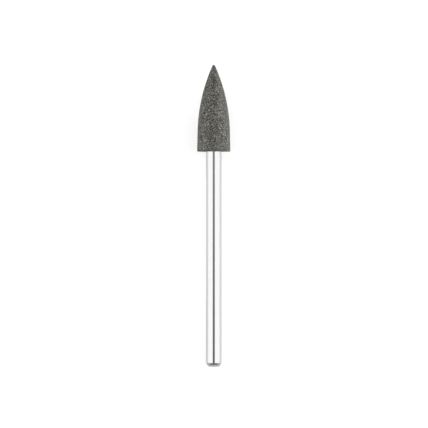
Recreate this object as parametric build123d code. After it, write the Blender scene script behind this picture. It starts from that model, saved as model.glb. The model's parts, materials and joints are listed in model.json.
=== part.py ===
from build123d import *
import math
import os

# A silicone polishing point on a straight mandrel, for a slow-speed handpiece or a rotary tool.
#
# Two pieces. The mandrel is a bright plated steel pin, turned from one bar. Its lower length is the
# plain shank that a collet grips. Its top end is a thinner neck with a rolled straight knurl and one
# ring groove, so that the moulding can neither turn nor pull off. The polishing head is one moulding of
# silicone filled with abrasive grain, bonded over the neck and seated on its shoulder: a short body with
# a little draft, an ogive above it and a small round nose. The silicone fills the knurl and the groove,
# so the two pieces meet face to face.
#
# Each piece is made upright about Z, with the middle of the shank's free end at the origin. The pair is
# then laid on its side, as it comes to rest: it touches the surface at the head's rim and at the round
# of the shank's end, so its axis leans up a little towards the nose.
#
# The frame: millimetres, the origin under the middle of the part, on the surface it lies on, +Z up and
# +Y along the part towards the nose.

# Shank
SHANK_DIAMETER = 2.35
SHANK_SHOWING = 32.25
END_ROUND_WIDTH = 0.43
END_ROUND_HEIGHT = 0.9

# Knurled neck, inside the head
SHOULDER_WIDTH = 0.2
NECK_LENGTH = 7.0
PLAIN_COLLAR = 1.2
KNURL_TEETH = 20
KNURL_DEPTH = 0.12
KNURL_ANGLE = 90.0
RING_GROOVE_HEIGHT = 3.6
RING_GROOVE_WIDTH = 0.8
RING_GROOVE_DEPTH = 0.3
TOP_CHAMFER = 0.3

# Head
HEAD_DIAMETER = 5.0
HEAD_LENGTH = 13.0
BODY_LENGTH = 3.0
BODY_DRAFT = 1.2
NOSE_RADIUS = 0.23
RIM_RADIUS = 0.08

# How far a cutter runs past the face that it cuts
CUT_MARGIN = 0.1

SHANK_RADIUS = SHANK_DIAMETER / 2
NECK_RADIUS = SHANK_RADIUS - SHOULDER_WIDTH
HEAD_BASE = SHANK_SHOWING
MANDREL_TOP = HEAD_BASE + NECK_LENGTH
FULL_TURN = 360.0


def on_arc(centre, radius, angle):
    """The point on an arc in the outline's plane, at that angle in degrees from the radial direction."""
    turn = math.radians(angle)
    return (centre[0] + radius * math.cos(turn), centre[1] + radius * math.sin(turn))


def arc(centre, radius, start_angle, end_angle):
    """An arc of the outline between two angles."""
    middle = (start_angle + end_angle) / 2
    return ThreePointArc(
        on_arc(centre, radius, start_angle),
        on_arc(centre, radius, middle),
        on_arc(centre, radius, end_angle),
    )


def turned(edges):
    """The solid of revolution about Z of a closed outline of (radius, height) edges."""
    outline = Plane.XZ * make_face(edges)
    return revolve(outline, Axis.Z, FULL_TURN)


def end_round_circle():
    """The centre and radius of the round at the shank's end, which is tangent to the shank."""
    radius = (END_ROUND_HEIGHT**2 + END_ROUND_WIDTH**2) / (2 * END_ROUND_WIDTH)
    return (SHANK_RADIUS - radius, END_ROUND_HEIGHT), radius


def rim_circle():
    """The centre and radius of the small round at the foot of the head."""
    return (HEAD_DIAMETER / 2 - RIM_RADIUS, HEAD_BASE + RIM_RADIUS), RIM_RADIUS


def mandrel_blank():
    """The plain pin: a small flat end face, a round, the shank, the shoulder and the neck."""
    round_centre, round_radius = end_round_circle()
    start_angle = -math.degrees(math.asin(END_ROUND_HEIGHT / round_radius))
    end_round = arc(round_centre, round_radius, start_angle, 0)
    rest = Polyline(
        end_round @ 1,
        (SHANK_RADIUS, HEAD_BASE),
        (NECK_RADIUS, HEAD_BASE),
        (NECK_RADIUS, MANDREL_TOP - TOP_CHAMFER),
        (NECK_RADIUS - TOP_CHAMFER, MANDREL_TOP),
        (0, MANDREL_TOP),
        (0, 0),
        end_round @ 0,
    )
    return turned([end_round, rest])


def ring_groove():
    """The ring that is cut round the neck, so that the moulding can't pull off."""
    floor_radius = NECK_RADIUS - RING_GROOVE_DEPTH
    ring = Cylinder(NECK_RADIUS + CUT_MARGIN, RING_GROOVE_WIDTH) - Cylinder(
        floor_radius, RING_GROOVE_WIDTH + CUT_MARGIN
    )
    return Pos(0, 0, HEAD_BASE + RING_GROOVE_HEIGHT) * ring


def knurl_cuts():
    """The V grooves between the knurl's teeth, from above the plain collar to the mandrel's top."""
    start = HEAD_BASE + PLAIN_COLLAR
    floor_radius = NECK_RADIUS - KNURL_DEPTH
    mouth_radius = NECK_RADIUS + CUT_MARGIN
    half_width = (mouth_radius - floor_radius) * math.tan(math.radians(KNURL_ANGLE / 2))
    section = make_face(
        Polyline(
            (floor_radius, 0),
            (mouth_radius, -half_width),
            (mouth_radius, half_width),
            close=True,
        )
    )
    one_cut = extrude(section, MANDREL_TOP + CUT_MARGIN - start)
    return [Pos(0, 0, start) * turn * one_cut for turn in PolarLocations(0, KNURL_TEETH)]


def make_mandrel():
    return mandrel_blank() - ring_groove() - knurl_cuts()


def head_blank():
    """The head with no bore: rim, drafted body, ogive and nose, each tangent to the next."""
    draft = math.radians(BODY_DRAFT)
    rim_centre, rim_radius = rim_circle()
    body_foot = on_arc(rim_centre, rim_radius, BODY_DRAFT)
    body_top_height = HEAD_BASE + BODY_LENGTH
    body_top = (
        body_foot[0] - (body_top_height - body_foot[1]) * math.tan(draft),
        body_top_height,
    )
    nose_centre = (0, HEAD_BASE + HEAD_LENGTH - NOSE_RADIUS)
    rise = nose_centre[1] - body_top_height
    # The ogive's centre lies on the body's normal, and its distance from the nose's centre is the
    # difference of the two radii. Together they give the ogive's radius.
    ogive_radius = (body_top[0] ** 2 + rise**2 - NOSE_RADIUS**2) / (
        2 * (body_top[0] * math.cos(draft) - rise * math.sin(draft) - NOSE_RADIUS)
    )
    ogive_centre = on_arc(body_top, -ogive_radius, BODY_DRAFT)
    nose_angle = math.degrees(
        math.atan2(nose_centre[1] - ogive_centre[1], nose_centre[0] - ogive_centre[0])
    )
    rim = arc(rim_centre, rim_radius, -90, BODY_DRAFT)
    ogive = arc(ogive_centre, ogive_radius, BODY_DRAFT, nose_angle)
    nose = arc(nose_centre, NOSE_RADIUS, nose_angle, 90)
    body = Line(rim @ 1, ogive @ 0)
    closing = Polyline(nose @ 1, (0, HEAD_BASE), rim @ 0)
    return turned([rim, body, ogive, nose, closing])


def make_polishing_head(mandrel):
    """The moulding, with the mandrel's end taken out of it."""
    return head_blank() - mandrel


def resting_lean():
    """How far the axis leans up towards the nose, in degrees, when the part lies on a flat surface.

    In the outline's plane the surface is the line tangent to the end's round and to the head's rim.
    """
    end_centre, end_radius = end_round_circle()
    rim_centre, rim_radius = rim_circle()
    across = rim_centre[0] - end_centre[0]
    along = rim_centre[1] - end_centre[1]
    line_angle = math.acos((end_radius - rim_radius) / math.hypot(across, along))
    return math.degrees(line_angle - math.atan2(along, across))


def laid_down(parts):
    """The parts on their side, with the bottom centre of their common box at the origin."""
    on_side = {name: Rot(resting_lean() - 90, 0, 0) * shape for name, shape in parts.items()}
    box = Compound(list(on_side.values())).bounding_box()
    place = Pos(-box.center().X, -box.center().Y, -box.min.Z)
    return {name: place * shape for name, shape in on_side.items()}


def main():
    mandrel = make_mandrel()
    upright = {
        "mandrel": mandrel,
        "polishing_head": make_polishing_head(mandrel),
    }
    os.makedirs("parts", exist_ok=True)
    for name, shape in laid_down(upright).items():
        export_step(shape, f"parts/{name}.step")


main()
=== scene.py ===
import json
import math

import bpy
from mathutils import Matrix, Vector


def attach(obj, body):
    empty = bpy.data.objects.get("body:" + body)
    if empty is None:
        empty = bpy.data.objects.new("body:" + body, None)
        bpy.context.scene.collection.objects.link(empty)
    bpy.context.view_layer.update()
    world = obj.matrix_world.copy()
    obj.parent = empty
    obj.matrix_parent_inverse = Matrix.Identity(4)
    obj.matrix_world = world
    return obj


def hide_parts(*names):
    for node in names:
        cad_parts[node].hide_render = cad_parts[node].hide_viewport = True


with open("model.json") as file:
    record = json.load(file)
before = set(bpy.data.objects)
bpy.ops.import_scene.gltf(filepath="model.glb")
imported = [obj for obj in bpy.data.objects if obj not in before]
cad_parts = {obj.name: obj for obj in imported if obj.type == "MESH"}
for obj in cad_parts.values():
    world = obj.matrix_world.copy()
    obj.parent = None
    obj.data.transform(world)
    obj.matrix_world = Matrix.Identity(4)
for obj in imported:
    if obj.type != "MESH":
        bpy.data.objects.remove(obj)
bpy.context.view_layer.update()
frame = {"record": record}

# A silicone polishing point, lying on a pale studio floor and seen from above.
#
# Each piece is turned upright about Z in millimetres, with the middle of the shank's free end at the
# origin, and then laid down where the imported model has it.

# Mandrel, in millimetres
SHANK_RADIUS = 1.175
END_ROUND_WIDTH = 0.43
END_ROUND_HEIGHT = 0.9
END_EDGE_BREAK = 0.08
HEAD_BASE = 32.25
SHOULDER_WIDTH = 0.2
NECK_RADIUS = SHANK_RADIUS - SHOULDER_WIDTH
NECK_TOP = 39.25
KNURL_START = 33.45
KNURL_RUN_OUT = 0.02
KNURL_TEETH = 20
KNURL_DEPTH = 0.12
GROOVE_LOW = 35.45
GROOVE_HIGH = 36.25
GROOVE_DEPTH = 0.3
NECK_CHAMFER = 0.3

# Head, in millimetres
HEAD_RADIUS = 2.5
HEAD_TOP = 45.25
BODY_LENGTH = 3.0
BODY_DRAFT = 1.2
NOSE_RADIUS = 0.23
RIM_RADIUS = 0.08

# How finely each piece is turned: steps, spacings in millimetres, and the angle in degrees up to which
# an edge is shaded smooth
TURN_STEPS = 320
STEPS_PER_TOOTH = TURN_STEPS // KNURL_TEETH
END_ROUND_STEPS = 24
END_BREAK_STEPS = 5
RIM_STEPS = 4
NOSE_STEPS = 8
FACE_SPACING = 0.15
WALL_SPACING = 2.6
SKIN_SPACING = 0.068
SMOOTH_BELOW = 32.0

# Relief of the head's skin: its name, the size of its pattern and its depth in millimetres, the tone of
# the pattern that stays where it is, and how the pattern is made. Darker tones go inwards.
SKIN_RELIEFS = (
    ("unevenness", 1.1, 0.008, 1.0, {"noise_depth": 1}),
    ("grain", 0.16, 0.02, 0.45, {"noise_depth": 1, "noise_basis": "VORONOI_F1"}),
    ("fine_grain", 0.07, 0.008, 1.0, {"noise_depth": 0}),
)

# How far from the shank, and from the axis at the tip, the relief has its whole depth, in millimetres
CLEAR_OF_SHANK = 0.25
CLEAR_OF_TIP = 0.6

# Nearer than this, in millimetres, two points are merged, two places are the same place, and a point
# lies on the neck's wall
MERGE_BELOW = 1e-5
SAME_PLACE = 1e-4
ON_WALL = 1e-3

MILLIMETRE = 0.001


# Where the piece lies

def laid_down():
    """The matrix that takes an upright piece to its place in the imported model."""
    mounts = {mount["name"]: mount for mount in frame["record"]["mounts"]}
    end = mounts["shank_end"]
    along = -Vector(end["axis"]).normalized()
    across = Vector((1, 0, 0))
    down = along.cross(across)
    turn = Matrix((across, down, along)).transposed().to_4x4()
    return Matrix.Translation(Vector(end["pos_m"])) @ turn


UPRIGHT_TO_PLACE = laid_down()


# Modelling by hand

def start_edit(piece):
    """Edit mode on one piece, with nothing selected."""
    bpy.ops.object.select_all(action="DESELECT")
    piece.select_set(True)
    bpy.context.view_layer.objects.active = piece
    bpy.ops.object.mode_set(mode="EDIT")
    bpy.ops.mesh.select_mode(type="VERT")
    bpy.ops.mesh.select_all(action="DESELECT")


def end_edit():
    bpy.ops.object.mode_set(mode="OBJECT")


def pick_points(piece, wanted):
    """Selects the points that wanted(place) says, and leaves the piece in edit mode."""
    start_edit(piece)
    bpy.ops.object.mode_set(mode="OBJECT")
    for point in piece.data.vertices:
        point.select = wanted(point.co)
    bpy.ops.object.mode_set(mode="EDIT")


def draw_outline(name, outline):
    """A line of edges through (radius, height) places, drawn by extruding one point after another."""
    bpy.ops.object.select_all(action="DESELECT")
    bpy.ops.mesh.primitive_plane_add(size=1, location=(0, 0, 0))
    piece = bpy.context.object
    piece.name = name
    start_edit(piece)
    bpy.ops.mesh.select_all(action="SELECT")
    bpy.ops.mesh.merge(type="CENTER")
    first_radius, first_height = outline[0]
    bpy.ops.transform.translate(value=(first_radius, 0, first_height))
    for (radius, height), (next_radius, next_height) in zip(outline, outline[1:]):
        step = (next_radius - radius, 0, next_height - height)
        bpy.ops.mesh.extrude_vertices_move(TRANSFORM_OT_translate={"value": step})
    end_edit()
    return piece


def turn_outline(name, outline):
    """The closed piece that the outline sweeps in one whole turn about Z."""
    piece = draw_outline(name, outline)
    start_edit(piece)
    bpy.ops.mesh.select_all(action="SELECT")
    bpy.ops.mesh.spin(steps=TURN_STEPS, angle=math.tau, center=(0, 0, 0), axis=(0, 0, 1))
    bpy.ops.mesh.select_all(action="SELECT")
    bpy.ops.mesh.remove_doubles(threshold=MERGE_BELOW)
    bpy.ops.mesh.normals_make_consistent(inside=False)
    end_edit()
    return piece


def press_knurl(piece):
    """The V grooves of the knurl, pressed in one row of points after another."""
    step_angle = math.tau / TURN_STEPS

    def in_knurl(place):
        on_neck = abs(math.hypot(place.x, place.y) - NECK_RADIUS) < ON_WALL
        return on_neck and place.z > KNURL_START + KNURL_RUN_OUT / 2

    for row in range(STEPS_PER_TOOTH // 2):
        depth = KNURL_DEPTH - NECK_RADIUS * step_angle * row
        if depth <= 0:
            break

        def in_row(place):
            step = round(math.atan2(place.y, place.x) / step_angle) % STEPS_PER_TOOTH
            return min(step, STEPS_PER_TOOTH - step) == row and in_knurl(place)

        pick_points(piece, in_row)
        smaller = (NECK_RADIUS - depth) / NECK_RADIUS
        bpy.ops.transform.resize(value=(smaller, smaller, 1), center_override=(0, 0, 0))
        end_edit()


def break_end_edge(piece):
    """The sharp edge round the free end's flat face, broken by a small round."""
    face_radius = SHANK_RADIUS - END_ROUND_WIDTH

    def on_edge(place):
        return place.z < SAME_PLACE and math.hypot(place.x, place.y) > face_radius - FACE_SPACING / 2

    pick_points(piece, on_edge)
    bpy.ops.mesh.select_mode(type="EDGE")
    bpy.ops.mesh.bevel(
        offset=END_EDGE_BREAK, offset_type="OFFSET", segments=END_BREAK_STEPS, profile=0.5
    )
    end_edit()


def lay_down(piece, name):
    """Brings a finished piece to its place, with the place in its mesh, and smooths its shading."""
    bpy.ops.object.select_all(action="DESELECT")
    piece.select_set(True)
    bpy.context.view_layer.objects.active = piece
    piece.matrix_world = UPRIGHT_TO_PLACE @ Matrix.Scale(MILLIMETRE, 4)
    bpy.ops.object.transform_apply(location=True, rotation=True, scale=True)
    bpy.ops.object.shade_smooth_by_angle(angle=math.radians(SMOOTH_BELOW))
    piece.name = name


# Outlines

def arc_points(centre, radius, start, end, count):
    """Places on an arc from one angle to another, in degrees from the radial direction."""
    angles = [math.radians(start + (end - start) * i / count) for i in range(count + 1)]
    return [(centre[0] + radius * math.cos(a), centre[1] + radius * math.sin(a)) for a in angles]


def line_points(start, end, spacing):
    """Places along a straight run, both ends among them."""
    count = max(1, round(math.dist(start, end) / spacing))
    return [
        (start[0] + (end[0] - start[0]) * i / count, start[1] + (end[1] - start[1]) * i / count)
        for i in range(count + 1)
    ]


def joined(*runs):
    """One outline from several runs, each of which starts where the last one ended."""
    outline = []
    for run in runs:
        for place in run:
            if not outline or math.dist(place, outline[-1]) > SAME_PLACE:
                outline.append(place)
    return outline


def shank_outline():
    """The shank, from the middle of its free end up to the shoulder's outer edge."""
    round_radius = (END_ROUND_HEIGHT**2 + END_ROUND_WIDTH**2) / (2 * END_ROUND_WIDTH)
    round_centre = (SHANK_RADIUS - round_radius, END_ROUND_HEIGHT)
    start = -math.degrees(math.asin(END_ROUND_HEIGHT / round_radius))
    end_round = arc_points(round_centre, round_radius, start, 0, END_ROUND_STEPS)
    face = line_points((0, 0), end_round[0], FACE_SPACING)
    wall = line_points(end_round[-1], (SHANK_RADIUS, HEAD_BASE), WALL_SPACING)
    return joined(face, end_round, wall)


def neck_outline():
    """The neck, from the shoulder up to the middle of its top."""
    return [
        (NECK_RADIUS, HEAD_BASE),
        (NECK_RADIUS, KNURL_START),
        (NECK_RADIUS, KNURL_START + KNURL_RUN_OUT),
        (NECK_RADIUS, GROOVE_LOW),
        (NECK_RADIUS - GROOVE_DEPTH, GROOVE_LOW),
        (NECK_RADIUS - GROOVE_DEPTH, GROOVE_HIGH),
        (NECK_RADIUS, GROOVE_HIGH),
        (NECK_RADIUS, NECK_TOP - NECK_CHAMFER),
        (NECK_RADIUS - KNURL_DEPTH, NECK_TOP - NECK_CHAMFER + KNURL_DEPTH),
        (NECK_RADIUS - NECK_CHAMFER, NECK_TOP),
        (0, NECK_TOP),
    ]


def skin_outline():
    """The head's outside, from the shoulder over the rim, body, ogive and nose to the tip."""
    draft = math.radians(BODY_DRAFT)
    rim_centre = (HEAD_RADIUS - RIM_RADIUS, HEAD_BASE + RIM_RADIUS)
    rim = arc_points(rim_centre, RIM_RADIUS, -90, BODY_DRAFT, RIM_STEPS)
    top_height = HEAD_BASE + BODY_LENGTH
    body_top = (rim[-1][0] - (top_height - rim[-1][1]) * math.tan(draft), top_height)
    nose_centre = (0, HEAD_TOP - NOSE_RADIUS)
    rise = nose_centre[1] - top_height
    ogive_radius = (body_top[0] ** 2 + rise**2 - NOSE_RADIUS**2) / (
        2 * (body_top[0] * math.cos(draft) - rise * math.sin(draft) - NOSE_RADIUS)
    )
    ogive_centre = (
        body_top[0] - ogive_radius * math.cos(draft),
        body_top[1] - ogive_radius * math.sin(draft),
    )
    nose_angle = math.degrees(
        math.atan2(nose_centre[1] - ogive_centre[1], nose_centre[0] - ogive_centre[0])
    )
    ogive_length = ogive_radius * math.radians(nose_angle - BODY_DRAFT)
    ogive_steps = round(ogive_length / SKIN_SPACING)
    return joined(
        line_points((NECK_RADIUS, HEAD_BASE), (SHANK_RADIUS, HEAD_BASE), SHOULDER_WIDTH / 2),
        line_points((SHANK_RADIUS, HEAD_BASE), rim[0], SKIN_SPACING),
        rim,
        line_points(rim[-1], body_top, SKIN_SPACING),
        arc_points(ogive_centre, ogive_radius, BODY_DRAFT, nose_angle, ogive_steps),
        arc_points(nose_centre, NOSE_RADIUS, nose_angle, 90, NOSE_STEPS)[:-1],
        [(0, HEAD_TOP)],
    )


# Pieces

def make_mandrel():
    """The plated pin: end face, round, shank, shoulder, and the knurled neck inside the head."""
    piece = turn_outline("mandrel_turned", joined(shank_outline(), neck_outline()))
    press_knurl(piece)
    break_end_edge(piece)
    return piece


def mark_skin(piece):
    """Marks the head's outside, less and less towards the shank and the tip, which stay true."""
    skin = piece.vertex_groups.new(name="skin")
    for point in piece.data.vertices:
        radius = math.hypot(point.co.x, point.co.y)
        on_base = point.co.z < HEAD_BASE + SAME_PLACE
        in_bore = point.co.z < NECK_TOP + SAME_PLACE and radius < SHANK_RADIUS + SAME_PLACE
        if not in_bore:
            share = (radius - SHANK_RADIUS) / CLEAR_OF_SHANK if on_base else radius / CLEAR_OF_TIP
            skin.add([point.index], min(1.0, share), "REPLACE")


def add_relief(piece, name, size, depth, level, pattern_settings):
    """Moves the skin in and out, after a solid pattern of that size."""
    pattern = bpy.data.textures.new(name, "CLOUDS")
    pattern.noise_scale = size
    for key, value in pattern_settings.items():
        setattr(pattern, key, value)
    relief = piece.modifiers.new(name, "DISPLACE")
    relief.texture = pattern
    relief.texture_coords = "LOCAL"
    relief.direction = "NORMAL"
    relief.mid_level = level
    relief.strength = depth
    relief.vertex_group = "skin"
    bpy.context.view_layer.objects.active = piece
    bpy.ops.object.modifier_apply(modifier=name)


def make_head():
    """The moulding: a granular skin over the bore that the neck fills."""
    bore = list(reversed(neck_outline()))
    piece = turn_outline("head_turned", joined(bore, skin_outline()))
    press_knurl(piece)
    mark_skin(piece)
    for name, size, depth, level, pattern_settings in SKIN_RELIEFS:
        add_relief(piece, name, size, depth, level, pattern_settings)
    return piece


# Materials
#
# Two numbers whose name ends in ABOVE or BELOW say where a smooth change starts and where it ends.

# The middle of what a noise or a chance can be
MIDDLE = 0.5

# How far the middle of a grain reaches, as a share of the distance between grains
GRAIN_MIDDLE_BELOW = (0.2, 0.8)


class Value:
    """What comes out of a shader node. Arithmetic on it adds Math nodes."""

    def __init__(self, nodes, socket):
        self.nodes = nodes
        self.socket = socket

    def math(self, operation, *others):
        return self.nodes.add("ShaderNodeMath", {"operation": operation}, self, *others)

    def __add__(self, other):
        return self.math("ADD", other)

    __radd__ = __add__

    def __mul__(self, other):
        return self.math("MULTIPLY", other)

    __rmul__ = __mul__

    def __sub__(self, other):
        return self.math("SUBTRACT", other)

    def __rsub__(self, other):
        return self.nodes.add("ShaderNodeMath", {"operation": "SUBTRACT"}, other, self)


class Nodes:
    """The shader nodes of one material, or of the world."""

    def __init__(self, owner):
        owner.use_nodes = True
        self.tree = owner.node_tree
        self.tree.nodes.clear()

    def put(self, kind, settings, *places, **named):
        """Adds a node: first its settings, then its inputs, by place or by name."""
        node = self.tree.nodes.new(kind)
        for key, value in settings.items():
            setattr(node, key, value)
        inputs = [socket for socket in node.inputs if socket.enabled]
        for socket, value in zip(inputs, places):
            self.feed(socket, value)
        for name, value in named.items():
            self.feed(node.inputs[name.replace("_", " ")], value)
        return node

    def feed(self, socket, value):
        if isinstance(value, Value):
            self.tree.links.new(value.socket, socket)
        else:
            socket.default_value = value

    def add(self, kind, settings, *places, output=None, **named):
        """Adds a node and gives what comes out of it."""
        node = self.put(kind, settings, *places, **named)
        outputs = [socket for socket in node.outputs if socket.enabled]
        return Value(self, node.outputs[output] if output else outputs[0])

    def smooth_step(self, value, low, high):
        """0 below low, 1 above high, and smooth between them."""
        settings = {"interpolation_type": "SMOOTHSTEP"}
        return self.add("ShaderNodeMapRange", settings, value, low, high, 0.0, 1.0)

    def blend(self, factor, first, second):
        """A colour between two colours."""
        return self.add("ShaderNodeMix", {"data_type": "RGBA"}, factor, first, second)

    def scaled(self, colour, strength):
        """A colour made brighter or darker."""
        return self.add("ShaderNodeVectorMath", {"operation": "SCALE"}, colour, Scale=strength)

    def upright_place(self):
        """Places in millimetres along the piece's own upright axes."""
        back = UPRIGHT_TO_PLACE.inverted()
        place = self.add("ShaderNodeTexCoord", {}, output="Object")
        return self.add(
            "ShaderNodeMapping", {"vector_type": "POINT"}, place,
            Location=back.to_translation() / MILLIMETRE,
            Rotation=back.to_euler(),
            Scale=(1 / MILLIMETRE,) * 3,
        )

    def parts(self, place):
        """The three numbers of a place or a direction."""
        node = self.put("ShaderNodeSeparateXYZ", {}, place)
        return [Value(self, socket) for socket in node.outputs]

    def stretched(self, place, x, y, z):
        """Places with each axis multiplied by its own number."""
        return self.add("ShaderNodeVectorMath", {"operation": "MULTIPLY"}, place, (x, y, z))

    def noise(self, place, scale=1.0, detail=3.0, roughness=0.6):
        """A smooth random pattern, from 0 to 1."""
        return self.add(
            "ShaderNodeTexNoise", {}, output="Fac",
            Vector=place, Scale=scale, Detail=detail, Roughness=roughness,
        )

    def grains(self, place, per_millimetre):
        """A packing of grains: a chance for each, a second chance, and how near its middle it is."""
        packed = self.put("ShaderNodeTexVoronoi", {"feature": "F1"}, Vector=place, Scale=per_millimetre)
        chances = self.put("ShaderNodeSeparateColor", {}, Value(self, packed.outputs["Color"]))
        distance = Value(self, packed.outputs["Distance"])
        middle = 1 - self.smooth_step(distance, *GRAIN_MIDDLE_BELOW)
        return Value(self, chances.outputs[0]), Value(self, chances.outputs[1]), middle

    def bump(self, height, distance):
        """The surface normal with a relief of that height, and its whole depth in metres."""
        return self.add("ShaderNodeBump", {}, output="Normal", Distance=distance, Height=height)

    def finish(self, **surface):
        """Ends a material in one Principled shader."""
        shader = self.put("ShaderNodeBsdfPrincipled", {}, **surface)
        self.put("ShaderNodeOutputMaterial", {}, Value(self, shader.outputs[0]))


# Nickel plate: its two tones, and how much darker a band on the end's round is made: painted shade that
# stands in for the dark reflection the round shows
PLATE_TONES = ((0.70, 0.70, 0.70, 1), (0.76, 0.76, 0.755, 1))
PAINTED_END_BAND_SHADE = 0.38

# The heights, in millimetres, of the end face, of the band of painted shade on the end's round and of
# where that band stops above it
END_FACE_BELOW = (0.01, 0.05)
PAINTED_END_BAND_ABOVE = (0.03, 0.12)
PAINTED_END_BAND_STOP_ABOVE = (0.56, 0.63)

# How many marks lie in a millimetre. Grinding and smears have a number for each of the pin's own axes,
# and facing runs in rings round its middle.
GRINDING_MARKS = (1.5, 1.5, 45)
SMEARS = (6, 6, 0.8)
FACING_MARKS = 17
HANDLING_MARKS = 1.3

# How much each thing changes the plate's tone
HANDLING_TONE = 0.5
SMEAR_TONE = 0.3

# The plate's roughness, and what each thing adds to it
PLATE_ROUGHNESS = 0.05
SMEAR_ROUGHNESS = 0.05
HANDLING_ROUGHNESS = 0.06
END_FACE_ROUGHNESS = 0.14
PAINTED_END_BAND_ROUGHNESS = 0.05

# The depth of the plate's relief in metres, and how much deeper than grinding the other marks are
PLATE_RELIEF = 0.0000012
FACING_RELIEF = 7
HANDLING_RELIEF = 0.6


def plated_steel():
    """Bright nickel plate over ground steel, with faint marks of grinding, facing and handling, and a
    band of painted shade on the end's round.
    """
    finish = bpy.data.materials.new("bright_nickel_plate")
    nodes = Nodes(finish)
    place = nodes.upright_place()
    _, _, height = nodes.parts(place)
    flat_place = nodes.stretched(place, 1, 1, 0)
    radius = nodes.add("ShaderNodeVectorMath", {"operation": "LENGTH"}, flat_place, output="Value")
    on_end_face = 1 - nodes.smooth_step(height, *END_FACE_BELOW)
    # The band on the end's round that is painted darker: painted shade standing in for a dark reflection.
    # It is also a little rougher.
    past_painted_end_band = nodes.smooth_step(height, *PAINTED_END_BAND_STOP_ABOVE)
    painted_end_band = nodes.smooth_step(height, *PAINTED_END_BAND_ABOVE) * (1 - past_painted_end_band)

    rings = nodes.add("ShaderNodeCombineXYZ", {}, radius * FACING_MARKS, 0.0, 0.0)
    grinding = nodes.noise(nodes.stretched(place, *GRINDING_MARKS))
    facing = nodes.noise(rings, roughness=0.7)
    handling = nodes.noise(place, scale=HANDLING_MARKS, detail=4.0)
    smear = nodes.noise(nodes.stretched(place, *SMEARS), roughness=0.55)

    tone = MIDDLE + (handling - MIDDLE) * HANDLING_TONE + (smear - MIDDLE) * SMEAR_TONE
    # Painted shade: the colour is darkened in the band on the end's round, in place of a dark reflection.
    colour = nodes.scaled(nodes.blend(tone, *PLATE_TONES), 1 - painted_end_band * PAINTED_END_BAND_SHADE)
    roughness = (
        PLATE_ROUGHNESS
        + SMEAR_ROUGHNESS * smear
        + HANDLING_ROUGHNESS * handling * handling
        + END_FACE_ROUGHNESS * on_end_face
        + PAINTED_END_BAND_ROUGHNESS * painted_end_band
    )
    marks = (
        grinding * (1 - on_end_face)
        + facing * on_end_face * FACING_RELIEF
        + handling * HANDLING_RELIEF
    )
    nodes.finish(
        Base_Color=colour, Roughness=roughness, Metallic=1.0, Normal=nodes.bump(marks, PLATE_RELIEF)
    )
    return finish


# Filled silicone: the moulding's own grey, the two tints of the bare abrasive, the most that there is
# of the second tint, and the values of its pattern at which it comes in
SILICONE_GREY = (0.045, 0.0438, 0.039, 1)
ABRASIVE_TINTS = ((0.145, 0.141, 0.127, 1), (0.152, 0.136, 0.121, 1))
SECOND_TINT = 0.7
SECOND_TINT_ABOVE = (0.5, 0.68)

# How many grains, patches and changes of tint lie in a millimetre
GRAINS_PER_MILLIMETRE = 9.2
FINE_GRAINS_PER_MILLIMETRE = 15.0
PATCHES_PER_MILLIMETRE = 0.9
TINTS_PER_MILLIMETRE = 0.3

# The chance at which a grain is bare, and the part that fine grains have in it
BARE_ABOVE = (0.35, 0.8)
FINE_PART = 0.5

# How much each thing changes the shade. The grey is multiplied by e to the power of the shade.
GRAIN_SHADE = 1.55
FINE_GRAIN_SHADE = 1.75
PATCH_SHADE = 0.5
# Painted shade along the base rim, where shade falls at the joint with the shank
PAINTED_RIM_SHADE = 0.2
# Painted shade towards the tip, as if less light fell on the nose
PAINTED_TIP_SHADE = 0.2
WHOLE_SHADE = 0.05

# The heights, in millimetres, of the painted shade along the base rim and of the painted shade towards
# the tip
PAINTED_RIM_SHADE_BELOW = (HEAD_BASE + 0.1, HEAD_BASE + 0.5)
PAINTED_TIP_SHADE_ABOVE = (HEAD_TOP - 6.8, HEAD_TOP)

# The finish of silicone
SILICONE_ROUGHNESS = 0.55
SILICONE_IOR = 1.36
SHEEN = 0.05
SHEEN_ROUGHNESS = 0.5

# How much smoother and more like metal bare grain is
BARE_SMOOTHNESS = 0.12
BARE_METALLIC = 0.85

# The depth of the pits between grains in metres, and how deep the fine grains' are beside it
PIT_DEPTH = 0.00001
FINE_RELIEF = 0.4


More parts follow.
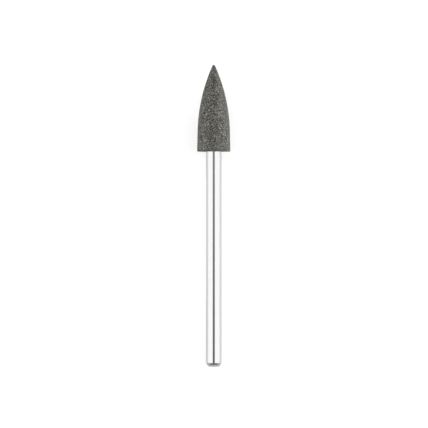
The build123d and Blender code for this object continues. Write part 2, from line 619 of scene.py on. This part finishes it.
def filled_silicone():
    """Grey silicone packed with light and dark abrasive grain, whose bare facets shine a little, with
    painted shade along the base rim and towards the tip.
    """
    finish = bpy.data.materials.new("grey_filled_silicone")
    nodes = Nodes(finish)
    place = nodes.upright_place()
    _, _, height = nodes.parts(place)
    chance, other_chance, middle = nodes.grains(place, GRAINS_PER_MILLIMETRE)
    fine_chance, _, _ = nodes.grains(place, FINE_GRAINS_PER_MILLIMETRE)
    patches = nodes.noise(place, scale=PATCHES_PER_MILLIMETRE)
    tints = nodes.noise(place, scale=TINTS_PER_MILLIMETRE, detail=2.0, roughness=0.5)
    second_tint = nodes.smooth_step(tints, *SECOND_TINT_ABOVE) * SECOND_TINT
    # Painted shade: the head is made darker near its base rim, where shade falls at the joint with the
    # shank.
    painted_rim_shade = 1 - nodes.smooth_step(height, *PAINTED_RIM_SHADE_BELOW)
    # Painted shade: the head is made darker towards its tip, as if less light fell on the nose.
    painted_tip_shade = nodes.smooth_step(height, *PAINTED_TIP_SHADE_ABOVE)

    bare = nodes.smooth_step(chance + (fine_chance - MIDDLE) * FINE_PART, *BARE_ABOVE)
    shade = (
        (other_chance - MIDDLE) * GRAIN_SHADE
        + (fine_chance - MIDDLE) * FINE_GRAIN_SHADE
        + (patches - MIDDLE) * PATCH_SHADE
        - painted_rim_shade * PAINTED_RIM_SHADE
        - painted_tip_shade * PAINTED_TIP_SHADE
        - WHOLE_SHADE
    )
    grey = nodes.blend(bare, SILICONE_GREY, nodes.blend(second_tint, *ABRASIVE_TINTS))
    nodes.finish(
        Base_Color=nodes.scaled(grey, shade.math("EXPONENT")),
        Roughness=SILICONE_ROUGHNESS - bare * BARE_SMOOTHNESS,
        Metallic=bare * BARE_METALLIC,
        Normal=nodes.bump(bare * middle + fine_chance * FINE_RELIEF, PIT_DEPTH),
        IOR=SILICONE_IOR, Sheen_Weight=SHEEN, Sheen_Roughness=SHEEN_ROUGHNESS,
    )
    return finish


# Studio floor: its grey and its glow, as other rays meet it and as the camera sees it, its roughness,
# and its radius in metres and the number of its sides
FLOOR_GREYS = ((0.92, 0.92, 0.92, 1), (0.32, 0.32, 0.32, 1))
FLOOR_GLOWS = ((0, 0, 0, 1), (0.75, 0.75, 0.75, 1))
FLOOR_ROUGHNESS = 0.6
FLOOR_RADIUS = 3.0
FLOOR_SIDES = 96


def floor_white():
    """Plain pale studio floor, lit from below as a light table is, so that shadows on it stay faint."""
    finish = bpy.data.materials.new("studio_floor")
    nodes = Nodes(finish)
    seen = nodes.add("ShaderNodeLightPath", {}, output="Is Camera Ray")
    nodes.finish(
        Base_Color=nodes.blend(seen, *FLOOR_GREYS), Roughness=FLOOR_ROUGHNESS,
        Emission_Color=nodes.blend(seen, *FLOOR_GLOWS), Emission_Strength=1.0,
    )
    return finish


# Studio

def make_floor():
    bpy.ops.object.select_all(action="DESELECT")
    bpy.ops.mesh.primitive_circle_add(vertices=FLOOR_SIDES, radius=FLOOR_RADIUS, fill_type="NGON")
    floor = bpy.context.object
    floor.name = "studio_floor"
    floor.data.materials.append(floor_white())


# Soft light from all round. The gap between two soft boxes overhead fades out between two angles from
# the top, in degrees, and is darker towards the shank's end. A dark ring in the direction of that end
# starts and stops between two steps of how far a direction points that way.
WHITE = (1, 1, 1, 1)
SKY_LIGHT = 1.31
SEEN_SKY = 1.3
GAP_ANGLES = (12.5, 18.0)
GAP_LIGHT = 0.13
GAP_LIGHT_RISE = 0.20
GAP_RISE = (-0.14, 0.04)
RING_START = (0.50, 0.58)
RING_STOP = (0.88, 0.95)
RING_SHARE = 0.12
RING_LIGHT = 0.27

# One low soft lamp on the right, in metres and watts
LAMP_POWER = 2.5
LAMP_SIZE = (0.4, 0.08)
LAMP_PLACE = (0.44, 0.03, 0.042)


def light_studio():
    world = bpy.data.worlds.new("studio")
    bpy.context.scene.world = world
    nodes = Nodes(world)
    x, y, z = nodes.parts(nodes.add("ShaderNodeTexCoord", {}, output="Generated"))
    from_top = x.math("ABSOLUTE").math("ARCTAN2", z) * (180 / math.pi)
    gap = 1 - nodes.smooth_step(from_top, *GAP_ANGLES)
    gap_light = GAP_LIGHT + GAP_LIGHT_RISE * nodes.smooth_step(y, *GAP_RISE)
    overhead = SKY_LIGHT * (1 - gap) + gap_light * gap
    toward_end = y * -1
    ring = nodes.smooth_step(toward_end, *RING_START) * (1 - nodes.smooth_step(toward_end, *RING_STOP))
    light = overhead * (1 - ring) + (overhead * RING_SHARE + RING_LIGHT) * ring
    seen = nodes.add("ShaderNodeLightPath", {}, output="Is Camera Ray")
    strength = light * (1 - seen) + SEEN_SKY * seen
    background = nodes.put("ShaderNodeBackground", {}, WHITE, strength)
    nodes.put("ShaderNodeOutputWorld", {}, Value(nodes, background.outputs[0]))

    lamp_light = bpy.data.lights.new("soft_lamp", "AREA")
    lamp_light.shape = "RECTANGLE"
    lamp_light.size, lamp_light.size_y = LAMP_SIZE
    lamp_light.energy = LAMP_POWER
    lamp = bpy.data.objects.new("soft_lamp", lamp_light)
    bpy.context.scene.collection.objects.link(lamp)
    lamp.location = LAMP_PLACE
    lamp.rotation_euler = (-Vector(LAMP_PLACE)).to_track_quat("-Z", "Y").to_euler()
    lamp.visible_glossy = False


# What the picture takes in, in millimetres: its width, the height along the piece and the place across
# it that are at the picture's middle, and how far off the camera stands. The camera's range is in metres.
PICTURE_WIDTH = 64.17
PICTURE_MIDDLE_HEIGHT = 22.89
PICTURE_MIDDLE_ACROSS = 0.037
CAMERA_DISTANCE = 400.0
SENSOR_WIDTH = 36.0
CAMERA_RANGE = (0.01, 10.0)


def place_camera():
    """The camera looks down on the point, square to its axis, with the nose at the picture's top."""
    data = bpy.data.cameras.new("camera")
    camera = bpy.data.objects.new("camera", data)
    bpy.context.scene.collection.objects.link(camera)
    data.sensor_width = SENSOR_WIDTH
    data.lens = SENSOR_WIDTH * CAMERA_DISTANCE / PICTURE_WIDTH
    data.clip_start, data.clip_end = CAMERA_RANGE
    place = Vector((PICTURE_MIDDLE_ACROSS, -CAMERA_DISTANCE, PICTURE_MIDDLE_HEIGHT)) * MILLIMETRE
    look = Matrix(((1, 0, 0), (0, 0, -1), (0, 1, 0))).to_4x4()
    camera.matrix_world = UPRIGHT_TO_PLACE @ Matrix.Translation(place) @ look
    bpy.context.scene.camera = camera


# The scene

scene = bpy.context.scene
scene.view_settings.view_transform = "Standard"
scene.view_settings.look = "None"

mandrel = make_mandrel()
lay_down(mandrel, "mandrel_dressed")
mandrel.data.materials.append(plated_steel())
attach(mandrel, "root")
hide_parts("mandrel")

head = make_head()
lay_down(head, "polishing_head_dressed")
head.data.materials.append(filled_silicone())
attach(head, "root")
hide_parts("polishing_head")

make_floor()
light_studio()
place_camera()
